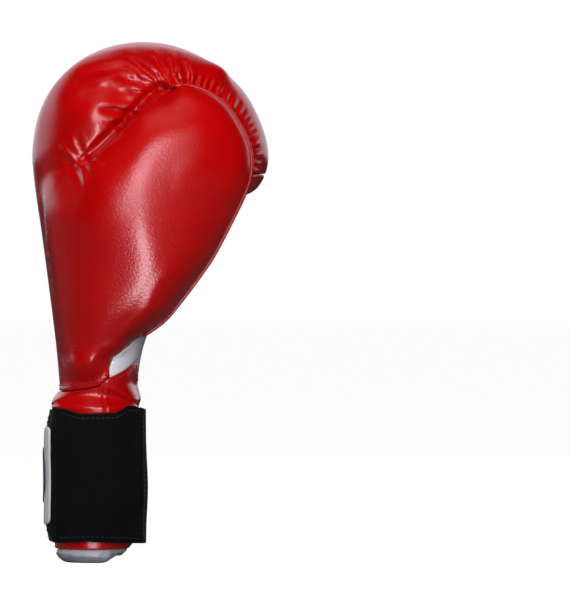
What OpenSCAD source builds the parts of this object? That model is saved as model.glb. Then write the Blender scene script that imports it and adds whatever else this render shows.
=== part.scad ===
// Left-hand boxing glove with a hook-and-loop wrist strap, standing on its cuff.
// X runs from the back of the hand to the palm, Y from the thumb to the little finger, Z up the fingers.
// The origin is the middle of the cuff's mouth.

/* [Cuff] */
// Half the cuff's outer depth, back to palm
cuff_half_depth = 25.2; // [24:0.2:27]
// Half the length of the cuff oval's straight sides
cuff_straight = 21.5; // [18:0.5:25]
// How far the cuff's middle sits towards the palm
cuff_shift = 1; // [0:0.5:3]
// Height of the stiff part of the cuff
cuff_top = 97; // [95:1:99]
// Height of the white binding round the mouth
binding_height = 9.5; // [7:0.5:11]
// Thickness of the cuff's foam
cuff_foam_thickness = 6.2; // [4:0.2:7]
// Width of the slit down the palm side of the cuff
slit_width = 12; // [6:1:16]

/* [Strap] */
// Width of the strap, measured along the wrist
strap_width = 82; // [70:1:82]
// Height of the strap's lower edge
strap_bottom = 12.5; // [11:0.5:14]
// Thickness of the strap's webbing
strap_thickness = 3; // [2:0.1:3.2]
// Distance of the two fold lines beside the slit from the middle of the wrist
fold_offset = 18; // [16:1:19]
// Width of the turned-over end of the webbing beside the slit
hem_width = 15; // [9:1:16]
// Where the tab starts, as an angle round the thumb side from the back of the wrist
tab_angle = 32; // [25:1:40]
// How far the tab reaches across the back of the wrist
tab_reach = 25; // [20:1:28]

/* [Fist] */
// Height where the fist joins the wrist gusset
fist_base = 109; // [108:1:110]
// Thickness of the leather
leather = 1.4; // [1:0.1:1.8]
// Thickness of the linings
lining = 1; // [0.8:0.1:1.2]
// Thickness of the soft outer layer of the knuckle foam
soft_layer = 12; // [8:1:16]
// Radius of the roll that the fingers grip
grip_radius = 6.5; // [5:0.5:7]
// Half the width of the white palm panel
palm_half_width = 38; // [34:1:42]

/* [Thumb] */
// Radius of the thumb's pocket
thumb_pocket = 12; // [11:0.5:13]
// Radius of the piping along the thumb's edge
welt_radius = 1.5; // [1.2:0.1:1.8]

/* [Label] */
// Height of the label on the tab
label_height = 60; // [50:1:64]
// Width of the label on the tab, from side to side
label_width = 46; // [36:1:46]
// Thickness of the label
label_thickness = 1.8; // [1.5:0.1:2]

/* [Hidden] */
gap = 0.2;              // clearance between pieces that lie on each other
eps = 0.01;
big = 400;
arc_steps = 14;         // facets on each round end of the cuff's oval
ring_sides = 24;        // corners of a fist or thumb section
ring_steps = 2;         // sections between two stations
roundness = 2.7;        // 2 is an ellipse, more is squarer
red = [0.62, 0.01, 0.02];
white = [0.88, 0.87, 0.90];
black = [0.05, 0.05, 0.055];
cream = [0.86, 0.83, 0.72];

// Layers of the cuff, as half depths from its middle
r_leather = cuff_half_depth;
r_foam = r_leather - leather - gap;
r_lining = r_foam - cuff_foam_thickness - gap;
r_mouth = r_lining - lining;
r_loop_patch = r_leather + 0.2;
r_hook_patch = r_loop_patch + 1.2 + 0.6;
r_tab = r_hook_patch + 1 + 0.05;
r_side = r_leather + 1;
r_elastic = r_leather + 1.2;
tab_thickness = 2;
strap_top = strap_bottom + strap_width;

// Stations of the fist: [palm-side x, z, back x, z, middle y, half width in y].
// They fan round the fold under the fingertips, from the wrist to the fingertips.
fist_stations = [
    [25.8, 96, -23, 96, 0, 45.7],
    [26, 109, -22, 109, 0, 46],
    [31, 136, -24.3, 135, 1, 47.5],
    [45, 164, -28, 167, 2, 51],
    [59, 192, -32.5, 200, 3, 54.5],
    [63, 212, -36.5, 228, 3, 56],
    [60, 226, -38.5, 252, 3, 56.5],
    [56, 234, -34.5, 278, 3, 56.5],
    [54, 238, -21.5, 301, 3, 56.5],
    [54, 240, 0, 315.5, 3, 56.5],
    [55, 241.5, 25, 320.5, 3, 56],
    [56.5, 242, 50, 318, 3, 55.5],
    [58, 242, 74, 307, 3, 55],
    [60, 241.5, 93, 290, 3, 54],
    [62, 240, 104.5, 268, 3, 52.5],
    [64, 237.5, 107.5, 250, 3, 50.5],
    [67, 232.5, 104.5, 236, 3, 47],
    [75, 228.5, 97.5, 229, 3, 41],
];
// Stations of the thumb: [crease-side x, z, palm-side x, z, middle y, half width in y]
thumb_stations = [
    [-10, 112, 14, 117, -34, 8],
    [-13, 134, 29, 132, -36, 17],
    [-14, 156, 46, 150, -41, 24],
    [-13, 181, 65, 175, -46, 28],
    [-11, 206, 82, 202, -51, 31],
    [-7, 230, 93, 228, -54, 32],
    [-1, 248, 96.5, 246, -55, 31],
    [9, 262, 93, 260, -55.5, 29.5],
    [19, 273, 86, 273, -56, 27],
    [30, 282, 76, 283.5, -56, 22],
    [40, 288, 65, 290.5, -55, 14],
    [46, 291, 58, 292, -48, 3],
];
// Stations of the hand's pocket, as for the fist
pocket_stations = [
    [17, 92, -14, 92, 0, 38],
    [17.5, 109, -13.5, 109, 0, 38],
    [22, 141, -10, 140, 1, 39],
    [30, 170, -7, 170, 2, 41],
    [36, 197, -5, 202, 3, 42],
    [39, 219, 0, 231, 3, 42],
    [42, 234, 14, 256, 3, 41],
    [50, 246, 36, 270, 3, 40],
    [61, 251, 58, 270, 3, 38],
    [70, 251, 75, 261, 3, 33],
];
// Middle line of the thumb's pocket: [x, y, z]
thumb_line = [[12, -16, 150], [20, -42, 172], [34, -56, 206], [46, -58, 240], [52, -57, 262]];
// Side outlines that share out the glove: the palm side of the fist, and the underside of the fingertips
palm_region = [
    [15.5, 90], [20.5, 141], [28.5, 170], [34.5, 197], [37.5, 219], [40.5, 234], [49.5, 244.2],
    [60, 242.5], [65, 231], [66, 205], [150, 140], [150, 90],
];
fingertip_region = [
    [60, 242.5], [64, 246], [82, 241], [150, 239], [150, 200], [66, 205], [65, 231],
];

function catmull(a, b, c, d, t) =
    0.5 * (2 * b + (c - a) * t + (2 * a - 5 * b + 4 * c - d) * t * t + (3 * b - a - 3 * c + d) * t * t * t);
function refine(stations, steps) = let (last = len(stations) - 1) concat(
    [for (i = [0:last - 1]) for (j = [0:steps - 1])
        catmull(stations[max(i - 1, 0)], stations[i], stations[i + 1],
            stations[min(i + 2, last)], j / steps)],
    [stations[last]]
);
function rounded(c) = sign(c) * pow(abs(c), 2 / roundness);
function station_middle(s) = [(s[0] + s[2]) / 2, (s[1] + s[3]) / 2];
function station_reach(s) = norm([s[2] - s[0], s[3] - s[1]]) / 2;
function section(s, inset) = let (
    middle = station_middle(s),
    reach = station_reach(s),
    along = [s[2] - s[0], s[3] - s[1]] / (2 * reach)
) [for (k = [0:ring_sides - 1]) let (
    a = 360 * k / ring_sides,
    u = (reach - inset) * rounded(cos(a)),
    v = (s[5] - inset) * rounded(sin(a))
) [middle[0] + along[0] * u, s[4] + v, middle[1] + along[1] * u]];
function band_faces(rings, sides) = [for (i = [0:rings - 2]) for (k = [0:sides - 1]) let (
    a = i * sides + k,
    b = i * sides + (k + 1) % sides
) each [[a, b, b + sides], [a, b + sides, a + sides]]];
function oval(r) = [for (side = [1, -1]) for (k = [0:arc_steps]) let (
    a = 180 * k / arc_steps + (side > 0 ? 0 : 180))
    [cuff_shift + r * cos(a), side * cuff_straight + r * sin(a)]];

// A closed solid through flat sections, its surface moved inwards by inset. drop leaves out end sections.
module loft(stations, inset = 0, drop = 0) {
    all_rings = refine(stations, ring_steps);
    rings = [for (i = [0:len(all_rings) - 1 - drop]) all_rings[i]];
    first = [for (k = [ring_sides - 1:-1:0]) k];
    last = [for (k = [0:ring_sides - 1]) (len(rings) - 1) * ring_sides + k];
    polyhedron(
        points = [for (s = rings) each section(s, inset)],
        faces = concat([first], band_faces(len(rings), ring_sides), [last])
    );
}

// A tube with rounded ends along a line of points
module ball_chain(line, r) {
    for (i = [0:len(line) - 2]) hull() {
        translate(line[i]) sphere(r, $fn = 20);
        translate(line[i + 1]) sphere(r, $fn = 20);
    }
}

// Everything inside a side outline, between two depths
module side_prism(outline, near, far) {
    translate([0, far, 0]) rotate([90, 0, 0]) linear_extrude(far - near) polygon(outline);
}

module above_wrist() {
    translate([-big / 2, -big / 2, fist_base]) cube(big);
}

// Its children as one smooth faceted body
module soft_body() {
    resize([0, 0, 0]) intersection() {
        union() children();
        above_wrist();
    }
}

module oval_ring(outer, inner, low, high) {
    translate([0, 0, low]) linear_extrude(high - low) difference() {
        polygon(oval(outer));
        polygon(oval(inner));
    }
}

// A ring round the wrist with any cross-section, given as [half depth, height] points
module oval_sleeve(profile) {
    n = len(profile);
    sides = len(oval(1));
    polyhedron(
        points = [for (p = profile) each [for (q = oval(p[0])) [q[0], q[1], p[1]]]],
        faces = [for (f = band_faces(n + 1, sides)) [for (v = f) v % (n * sides)]]
    );
}

module slit(width) {
    translate([cuff_shift, -width / 2, -1]) cube([60, width, cuff_top + 2]);
}

// ---- Cuff ----
module cuff_leather() color(red) difference() {
    oval_ring(r_leather, r_leather - leather, binding_height, cuff_top);
    slit(slit_width);
}

module cuff_foam() color(cream) difference() {
    oval_ring(r_foam, r_foam - cuff_foam_thickness, binding_height, cuff_top);
    slit(slit_width);
}

module cuff_lining() color(white) difference() {
    oval_ring(r_lining, r_mouth, binding_height, cuff_top);
    slit(slit_width);
}

module rim_binding() color(white) resize([0, 0, 0]) difference() {
    oval_sleeve([
        [r_mouth + 0.3, binding_height - gap], [r_mouth + 0.4, 1.4], [r_mouth + 1.5, 0], [r_leather - 4, 0],
        [r_leather - 2.7, 1.4], [r_leather - 1.9, 5], [r_leather - 1.2, binding_height - gap],
    ]);
    slit(slit_width);
}

module slit_gore() color(black) intersection() {
    oval_ring(r_foam - 2, r_foam - 3.2, binding_height, cuff_top);
    slit(slit_width - gap);
}

// The back of the wrist in plan, from an angle round the thumb side to a depth towards the little finger
module back_region(angle, reach) {
    linear_extrude(big) polygon([
        [cuff_shift, -cuff_straight],
        [cuff_shift - 100 * cos(angle), -cuff_straight - 100 * sin(angle)],
        [cuff_shift - 100, reach],
        [cuff_shift, reach],
    ]);
}

// Rows of hooks and loops hold the tab on this patch
module loop_patch() color(black) intersection() {
    oval_ring(r_loop_patch + 1.2, r_loop_patch, strap_bottom + 4, strap_top - 4);
    back_region(tab_angle - 17, tab_reach - 3);
}

// The part of the strap that stays sewn to the cuff, round the little finger's side
module strap_anchor() color(black) intersection() {
    oval_ring(r_elastic + strap_thickness, r_elastic, strap_bottom, strap_top);
    translate([-4, fold_offset, 0]) cube([60, 60, big]);
}

// The cloth patch that holds the elastic's end to the cuff
module strap_anchor_patch() color(black) intersection() {
    oval_ring(r_elastic - gap, r_leather + gap, strap_bottom + 6, strap_top - 6);
    translate([-2, cuff_straight + 10, 0]) cube([20, 60, big]);
}

// The soft leather between the cuff and the fist, which bends with the wrist
module wrist_gusset() color(red) oval_sleeve([
    [r_leather - leather, cuff_top + gap], [r_leather, cuff_top + gap],
    [24, fist_base - gap], [24 - leather, fist_base - gap],
]);

// ---- Strap ----
// The stretch of webbing that crosses the slit
module strap_elastic() color(black) intersection() {
    oval_ring(r_elastic + strap_thickness, r_elastic, strap_bottom, strap_top);
    translate([cuff_shift, -fold_offset, 0]) cube([60, 2 * fold_offset, big]);
}

// The thumb side of the wrist in plan, from a depth on the palm side to an angle on the back
module side_region(depth, angle) {
    linear_extrude(big) polygon([
        [cuff_shift, depth],
        [100, depth],
        [100, -150],
        [cuff_shift - 100 * cos(angle), -150],
        [cuff_shift - 100 * cos(angle), -cuff_straight - 100 * sin(angle)],
        [cuff_shift, -cuff_straight],
    ]);
}

module strap_side_band() color(black) intersection() {
    oval_ring(r_side + strap_thickness, r_side + 1, strap_bottom, strap_top);
    side_region(-fold_offset, tab_angle);
}

module strap_side_lining() color(black) intersection() {
    oval_ring(r_side + 1 - eps, r_side, strap_bottom + 2, strap_top - 2);
    side_region(-fold_offset - 1, tab_angle + 2);
}

// The turned-over end of the webbing beside the slit
module strap_side_hem() color(black) intersection() {
    oval_ring(r_side + strap_thickness + 1.6, r_side + strap_thickness + eps, strap_bottom, strap_top);
    translate([cuff_shift, -fold_offset - hem_width, 0]) cube([60, hem_width, big]);
}

module strap_tab_band() color(black) intersection() {
    oval_ring(r_tab + tab_thickness, r_tab, strap_bottom, strap_top);
    back_region(tab_angle, tab_reach);
}

module hook_patch() color(black) intersection() {
    oval_ring(r_tab - 0.05, r_hook_patch, strap_bottom + 5, strap_top - 5);
    back_region(tab_angle - 15, tab_reach - 6);
}

// A plate with rounded corners across the back of the wrist, clipped out of a layer of the oval
module back_plate(r, thickness, width, height, corner) {
    intersection() {
        oval_ring(r + thickness, r, label_z - height / 2 - 1, label_z + height / 2 + 1);
        translate([0, label_y, label_z]) rotate([0, -90, 0]) linear_extrude(60) polygon([
            for (q = [0:3]) for (k = [0:4]) let (a = 90 * q + 22.5 * k) [
                corner * cos(a) + (height / 2 - corner) * (q == 0 || q == 3 ? 1 : -1),
                corner * sin(a) + (width / 2 - corner) * (q < 2 ? 1 : -1)
            ]
        ]);
    }
}

label_r = r_tab + tab_thickness + 0.05;
label_y = label_width / 2 - 36;
label_z = strap_bottom + strap_width / 2;

module label_patch() color([0.62, 0.62, 0.65])
    back_plate(label_r, label_thickness, label_width, label_height, 5);

module label_emblem() color([0.06, 0.07, 0.16])
    back_plate(label_r + label_thickness + eps, 0.6, label_width - 12, 34, 15);

// The stitched-back end of the tab that the other hand pulls
module tab_pull_hem() color(black) intersection() {
    oval_ring(r_tab + tab_thickness + 1.4, label_r, strap_bottom + 1, strap_top - 1);
    translate([cuff_shift - 60, tab_reach - 7, 0]) cube([60, 7, big]);
}

// ---- Fist ----
module fist_shell() difference() {
    loft(fist_stations);
    loft(fist_stations, leather, 1);
    thumb_pocket_space();
}

module palm_cut(grow = 0) {
    side_prism(palm_region, -palm_half_width - grow, palm_half_width + 6 + grow);
}

module thumb_pocket_space() ball_chain(thumb_line, thumb_pocket + lining + gap);

module fist_leather() color(red) soft_body() difference() {
    fist_shell();
    palm_cut(gap);
    side_prism(fingertip_region, -big / 2, big / 2);
}

module fingertip_leather() color(red) soft_body() intersection() {
    fist_shell();
    side_prism([for (p = fingertip_region) p + [0, -gap]], -big / 2, big / 2);
    difference() {
        translate([0, -big / 2, 0]) cube(big);
        palm_cut(gap);
    }
}

module palm_leather() color(white) soft_body() intersection() {
    fist_shell();
    palm_cut();
    difference() {
        translate([0, -big / 2, 0]) cube(big);
        side_prism([for (p = fingertip_region) p + [0, gap]], -big / 2, big / 2);
    }
}

module fist_core() difference() {
    loft(fist_stations, leather + gap, 2);
    loft(pocket_stations, -lining - gap);
    thumb_pocket_space();
}

module knuckle_foam_soft() color(cream) soft_body() difference() {
    fist_core();
    loft(fist_stations, soft_layer, 4);
    side_prism(palm_region, -big / 2, big / 2);
}

module knuckle_foam_dense() color([0.75, 0.72, 0.62]) soft_body() difference() {
    intersection() {
        fist_core();
        loft(fist_stations, soft_layer + gap, 4);
    }
    side_prism(palm_region, -big / 2, big / 2);
}

module grip_space(r) {
    translate([49.5, -30, 215]) rotate([-90, 0, 0]) cylinder(h = 62, r = r, $fn = 32);
}

module palm_foam() color(cream) soft_body() difference() {
    intersection() {
        fist_core();
        side_prism([for (p = palm_region) p + [gap, -gap]], -big / 2, big / 2);
    }
    grip_space(grip_radius + gap);
}

module grip_roll() color([0.3, 0.3, 0.32]) grip_space(grip_radius);

module hand_lining() color(white) soft_body() difference() {
    loft(pocket_stations, -lining);
    loft(pocket_stations, 0, 1);
    ball_chain(thumb_line, thumb_pocket + lining + gap);
}

// ---- Thumb ----
// The leather on one side of the seam that runs round the thumb. arc lists the section corners that it covers,
// starting from the seam; side is -1 for the outside, 1 for the inside.
module thumb_shell(arc, side) difference() {
    there_and_back = concat([for (k = arc) [k, 0]], [for (i = [len(arc) - 1:-1:0]) [arc[i], leather]]);
    rings = [for (s = refine(thumb_stations, ring_steps)) [for (corner = there_and_back)
        section(s, corner[1])[corner[0]] + [0, corner[0] == 0 ? side * gap / 2 : 0, 0]]];
    sides = len(there_and_back);
    faces = concat(
        [[for (k = [sides - 1:-1:0]) k]],
        band_faces(len(rings), sides),
        [[for (k = [0:sides - 1]) (len(rings) - 1) * sides + k]]
    );
    polyhedron(
        points = [for (ring = rings) each ring],
        faces = side > 0 ? faces : [for (f = faces) [for (i = [len(f) - 1:-1:0]) f[i]]]
    );
    loft(fist_stations, -gap);
}

module thumb_leather_outer() color(red) soft_body()
    thumb_shell([0, for (k = [ring_sides - 1:-1:9]) k], -1);

module thumb_leather_inner() color(red) soft_body()
    thumb_shell([for (k = [0:8]) k], 1);

module thumb_foam() color(cream) soft_body() difference() {
    loft(thumb_stations, leather + gap, 2);
    loft(fist_stations, -gap);
    thumb_pocket_space();
}

module thumb_lining() color(white) soft_body() difference() {
    ball_chain(thumb_line, thumb_pocket + lining);
    ball_chain(thumb_line, thumb_pocket);
    loft(pocket_stations, -lining - gap);
}

// The piping runs just outside the thumb's palm-side edge, from the wrist over the tip
welt_points = [for (s = refine([for (i = [1:len(thumb_stations) - 2]) thumb_stations[i]], 2)) let (
    along = [s[2] - s[0], s[3] - s[1]] / (2 * station_reach(s)) * (welt_radius + 0.9)
) [s[2] + along[0], s[4], s[3] + along[1]]];

module welt_line(r) {
    n = len(welt_points);
    sides = 8;
    rings = [for (i = [0:n - 1]) let (
        d = welt_points[min(i + 1, n - 1)] - welt_points[max(i - 1, 0)],
        t = d / norm(d)
    ) each [for (k = [0:sides - 1]) let (a = 360 * k / sides)
        welt_points[i] + r * (cos(a) * [t[2], 0, -t[0]] + sin(a) * [0, 1, 0])]];
    polyhedron(
        points = rings,
        faces = concat(
            [[for (k = [0:sides - 1]) k]],
            [for (f = band_faces(n, sides)) [f[2], f[1], f[0]]],
            [[for (k = [sides - 1:-1:0]) (n - 1) * sides + k]]
        )
    );
}

module thumb_welt() color(red) soft_body() welt_line(welt_radius);

cuff_leather();
cuff_foam();
cuff_lining();
rim_binding();
slit_gore();
loop_patch();
strap_anchor();
strap_anchor_patch();
wrist_gusset();
strap_elastic();
strap_side_band();
strap_side_lining();
strap_side_hem();
strap_tab_band();
hook_patch();
label_patch();
label_emblem();
tab_pull_hem();
fist_leather();
fingertip_leather();
palm_leather();
knuckle_foam_soft();
knuckle_foam_dense();
palm_foam();
grip_roll();
hand_lining();
thumb_leather_outer();
thumb_leather_inner();
thumb_foam();
thumb_lining();
thumb_welt();
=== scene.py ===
"""A left-hand boxing glove on its cuff: padded red leather, white palm panel, hook-and-loop strap."""
import math

import bpy
import numpy as np
import openvdb
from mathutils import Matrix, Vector


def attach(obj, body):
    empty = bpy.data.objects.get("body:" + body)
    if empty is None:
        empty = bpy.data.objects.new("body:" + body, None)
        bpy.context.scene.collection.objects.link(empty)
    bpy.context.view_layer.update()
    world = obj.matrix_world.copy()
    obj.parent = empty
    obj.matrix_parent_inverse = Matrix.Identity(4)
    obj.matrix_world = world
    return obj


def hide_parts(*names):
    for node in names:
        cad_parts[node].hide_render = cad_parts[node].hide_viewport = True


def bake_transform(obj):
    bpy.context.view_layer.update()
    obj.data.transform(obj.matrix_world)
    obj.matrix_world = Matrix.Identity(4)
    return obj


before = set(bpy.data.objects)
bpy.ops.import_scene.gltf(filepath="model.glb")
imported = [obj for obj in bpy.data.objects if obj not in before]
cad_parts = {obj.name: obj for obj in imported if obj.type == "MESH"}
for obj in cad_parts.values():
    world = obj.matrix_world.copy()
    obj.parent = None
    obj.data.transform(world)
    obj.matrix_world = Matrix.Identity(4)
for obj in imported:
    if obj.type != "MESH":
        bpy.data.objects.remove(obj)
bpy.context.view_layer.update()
STEP = 1.0          # voxel size of the leather, in mm

# ------------------------ camera, floor, light
DISTANCE = 5.0
VIEW_W = 0.3523                            # width of the view at the middle of the glove
SENSOR = 36
GLOSS_TINT = (0.84, 0.90, 1.0)             # colour of the lights that only show as a shine
camera = bpy.data.objects.new("camera", bpy.data.cameras.new("camera"))
scene = bpy.context.scene
scene.collection.objects.link(camera)
scene.camera = camera
camera.location = (0.1174, -DISTANCE, 0.1638)
camera.rotation_euler = (math.radians(90), 0, 0)
camera.data.sensor_fit = "HORIZONTAL"
camera.data.sensor_width = SENSOR
camera.data.lens = SENSOR * DISTANCE / VIEW_W
scene.view_settings.view_transform = "Standard"


def new_material(name):
    mat = bpy.data.materials.new(name)
    mat.use_nodes = True
    tree = mat.node_tree
    tree.nodes.clear()
    out = tree.nodes.new("ShaderNodeOutputMaterial")
    return mat, tree, out


def node(tree, kind, **values):
    n = tree.nodes.new("ShaderNode" + kind)
    for key, value in values.items():
        if key in n.inputs:
            n.inputs[key].default_value = value
        else:
            setattr(n, key, value)
    return n


def map_range(tree, value, **ends):
    n = tree.nodes.new("ShaderNodeMapRange")
    for key, end in ends.items():
        n.inputs[key.replace("_", " ")].default_value = end
    tree.links.new(value, n.inputs["Value"])
    return n


def camera_sees(tree, seen, otherwise, out):
    """One shader for the camera's own rays, another for all the rest."""
    path = tree.nodes.new("ShaderNodeLightPath")
    mix = tree.nodes.new("ShaderNodeMixShader")
    sources = path.outputs["Is Camera Ray"], otherwise.outputs[0], seen.outputs[0]
    for socket, source in zip(mix.inputs, sources):
        tree.links.new(source, socket)
    tree.links.new(mix.outputs[0], out.inputs[0])
    return path


def build_stage():
    """A pale floor, a surround dim in front of the glove and bright behind it, and soft lights."""
    mesh = bpy.data.meshes.new("floor")
    mesh.from_pydata([(-40, -40, 0), (40, -40, 0), (40, 40, 0), (-40, 40, 0)], [], [(0, 1, 2, 3)])
    floor = bpy.data.objects.new("floor", mesh)
    scene.collection.objects.link(floor)
    mat, tree, out = new_material("floor_white")
    shade = node(tree, "BsdfDiffuse", Color=(0.25, 0.25, 0.26, 1))
    glow = node(tree, "Emission", Color=(1, 1, 1, 1), Strength=0.97)
    bright = tree.nodes.new("ShaderNodeAddShader")
    tree.links.new(shade.outputs[0], bright.inputs[0])
    tree.links.new(glow.outputs[0], bright.inputs[1])
    dim = node(tree, "BsdfDiffuse", Color=(0.12, 0.12, 0.12, 1))
    camera_sees(tree, bright, dim, out)
    mesh.materials.append(mat)

    world = bpy.data.worlds.new("studio")
    scene.world = world
    world.use_nodes = True
    tree = world.node_tree
    tree.nodes.clear()
    out = tree.nodes.new("ShaderNodeOutputWorld")
    place = tree.nodes.new("ShaderNodeTexCoord")
    ramp = tree.nodes.new("ShaderNodeValToRGB")
    ramp.color_ramp.elements[0].position = 0.0
    ramp.color_ramp.elements[0].color = (0.012, 0.012, 0.013, 1)
    ramp.color_ramp.elements[1].position = 1.0
    ramp.color_ramp.elements[1].color = (0.95, 0.90, 1.0, 1)
    behind = node(tree, "VectorMath", operation="DOT_PRODUCT")
    behind.inputs[1].default_value = (-0.12, 1, -0.7)
    tree.links.new(place.outputs["Generated"], behind.inputs[0])
    depth = map_range(tree, behind.outputs["Value"], From_Min=0.34, From_Max=0.52)
    tree.links.new(depth.outputs[0], ramp.inputs[0])
    lit = node(tree, "Background")
    tree.links.new(ramp.outputs[0], lit.inputs[0])
    seen = node(tree, "Background", Color=(1, 1, 1, 1), Strength=1.0)
    path = camera_sees(tree, seen, lit, out)
    power = map_range(tree, path.outputs["Is Glossy Ray"], To_Min=0.30, To_Max=1.0)
    tree.links.new(power.outputs[0], lit.inputs["Strength"])

    def softbox(name, place, target, width, height, power, diffuse=True, glossy=True):
        light = bpy.data.objects.new(name, bpy.data.lights.new(name, "AREA"))
        scene.collection.objects.link(light)
        light.data.shape = "RECTANGLE"
        light.data.size, light.data.size_y = width, height
        light.data.energy = power
        light.data.color = (1, 1, 1) if diffuse else GLOSS_TINT
        light.visible_camera = False
        light.visible_diffuse, light.visible_glossy = diffuse, glossy
        light.location = place
        light.rotation_euler = (Vector(target) - Vector(place)).to_track_quat("-Z", "Y").to_euler()

    middle = (0.03, 0, 0.2)
    softbox("wide_softbox", (0.32, -2.2, 0.8), middle, 1.6, 1.6, 59, glossy=False)
    softbox("front_softbox", (-0.20, -1.5, 0.45), middle, 0.55, 0.9, 13, diffuse=False)
    softbox("low_softbox", (0.035, -0.775, 0.012), (0.035, -0.775, 1), 0.11, 1.05, 5, diffuse=False)
    softbox("left_softbox", (-1.5, 0.7, 0.3), middle, 0.9, 0.9, 9, glossy=False)
    softbox("top_softbox", (-0.2, -0.6, 1.7), middle, 1.2, 1.2, 16, glossy=False)


build_stage()


# ------------------------ small helpers, all in mm
def smooth(t):
    t = np.clip(t, 0, 1)
    return t * t * (3 - 2 * t)


def bell(v, width):
    return np.exp(-((v / width) ** 2))


def curve_through(points, per=8, closed=True):
    """Catmull-Rom line through the points."""
    p = np.asarray(points, float)
    n = len(p)
    ids = np.arange(n if closed else n - 1)
    take = (lambda i: p[i % n]) if closed else (lambda i: p[np.clip(i, 0, n - 1)])
    out = []
    for j in range(per):
        t = j / per
        a, b, c, d = take(ids - 1), take(ids), take(ids + 1), take(ids + 2)
        square, cube = (2 * a - 5 * b + 4 * c - d) * t**2, (3 * b - a - 3 * c + d) * t**3
        out.append(0.5 * (2 * b + (c - a) * t + square + cube))
    line = np.stack(out, 1).reshape(-1, p.shape[1])
    return line if closed else np.vstack([line, p[-1]])


def line_distance(line, X, Z, closed=False):
    """Distance from a line in the side plane, and the share of its length at the nearest point."""
    pts = np.vstack([line, line[:1]]) if closed else line
    best = np.full(X.shape, 1e9)
    share = np.zeros(X.shape)
    lengths = np.linalg.norm(np.diff(pts, axis=0), axis=1)
    total, done = lengths.sum(), 0.0
    for (ax, az), (bx, bz), length in zip(pts[:-1], pts[1:], lengths):
        t = np.clip(((X - ax) * (bx - ax) + (Z - az) * (bz - az)) / max(length**2, 1e-9), 0, 1)
        d = np.hypot(X - ax - t * (bx - ax), Z - az - t * (bz - az))
        near = d < best
        best = np.where(near, d, best)
        share = np.where(near, (done + t * length) / total, share)
        done += length
    return best, share


def inside(line, X, Z):
    """Depth inside a closed line, negative outside."""
    d, _ = line_distance(line, X, Z, True)
    hit = np.zeros(X.shape, bool)
    ax, az = line[:, 0], line[:, 1]
    bx, bz = np.roll(ax, -1), np.roll(az, -1)
    for i in range(len(line)):
        if az[i] == bz[i]:
            continue
        crosses = (az[i] > Z) != (bz[i] > Z)
        at = ax[i] + (Z - az[i]) / (bz[i] - az[i]) * (bx[i] - ax[i])
        hit ^= crosses & (X < at)
    return np.where(hit, d, -d)


def blur(values, sigma):
    """Gaussian blur of a grid in the side plane, along its first and last axes."""
    reach = int(3 * sigma)
    kernel = np.exp(-0.5 * (np.arange(-reach, reach + 1) / sigma) ** 2)
    kernel /= kernel.sum()
    for axis in (0, values.ndim - 1):
        padding = [(reach, reach) if i == axis else (0, 0) for i in range(values.ndim)]
        padded, size = np.pad(values, padding, "edge"), values.shape[axis]
        values = sum(w * np.take(padded, np.arange(i, i + size), axis) for i, w in enumerate(kernel))
    return values


def eased(depth):
    """A distance from a line with its own creases smoothed away, unchanged close to the line."""
    return depth + (blur(depth, 7 / STEP) - depth) * smooth((depth - 6) / 16)


def wide(m):
    """A grid in the side plane, ready to spread along y."""
    return m[:, None, :].astype(np.float32)


def at_height(Z, *pairs):
    return np.interp(Z, [p[0] for p in pairs], [p[1] for p in pairs])


def pillow(depth, rounding, offset, half, power):
    """Field of a cushion from the depth inside its outline, how far in its edge rounds, and its y."""
    return crowned(np.maximum(1 - depth / rounding, 0), rounding, offset, half, power)


def crowned(a, rounding, offset, half, power):
    """Field of a cushion whose share a falls from 1 at its outline to 0 at its crown."""
    b = np.abs(offset) / half
    ap, bp = a**power, b**power
    total = ap + bp + 1e-9
    return (total ** (1 / power) - 1) * (ap * rounding + bp * half) / total


def join(a, b, k):
    """Union with a fillet of size k."""
    h = np.clip(0.5 + 0.5 * (b - a) / k, 0, 1)
    return b * (1 - h) + a * h - k * h * (1 - h)


def cut(a, b, k=1.0):
    """Overlap of two solids, with a rounded edge."""
    return -join(-a, -b, k)


def hills(X, Z, spacing, seed, count=9):
    """Smooth seeded noise in the side plane, about -1 to 1."""
    rng = np.random.default_rng(seed)
    total = np.zeros(np.broadcast(X, Z).shape)
    for _ in range(count):
        angle, phase = rng.uniform(0, 2 * math.pi, 2)
        f = 2 * math.pi / (spacing * rng.uniform(0.7, 1.5))
        total = total + np.cos(f * (X * math.cos(angle) + Z * math.sin(angle)) + phase)
    return total / math.sqrt(count)


def add_object(name, verts_mm, faces, material, body=None, slot=None, smooth_shade=True):
    mesh = bpy.data.meshes.new(name)
    verts = np.asarray(verts_mm, np.float32) / 1000
    if isinstance(faces, np.ndarray):
        faces = faces.tolist()
    mesh.from_pydata(verts.tolist(), [], faces)
    mesh.validate()
    mesh.update()
    if smooth_shade:
        mesh.polygons.foreach_set("use_smooth", np.ones(len(mesh.polygons), bool))
    mesh.materials.append(material)
    obj = bpy.data.objects.new(name, mesh)
    scene.collection.objects.link(obj)
    if body:
        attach(obj, body)
    return obj


def volume_to_mesh(field, origin, step):
    grid = openvdb.FloatGrid(3.0 * step)
    grid.copyFromArray(np.ascontiguousarray(np.clip(field, -3 * step, 3 * step), np.float32))
    verts, quads = grid.convertToQuads(0.0)
    verts = verts.astype(float) * step + np.asarray(origin)
    tri = verts[quads[:, [0, 1, 2]]]
    if np.einsum("ij,ij->i", tri[:, 0], np.cross(tri[:, 1], tri[:, 2])).sum() < 0:
        quads = quads[:, ::-1]
    return verts, quads


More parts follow.
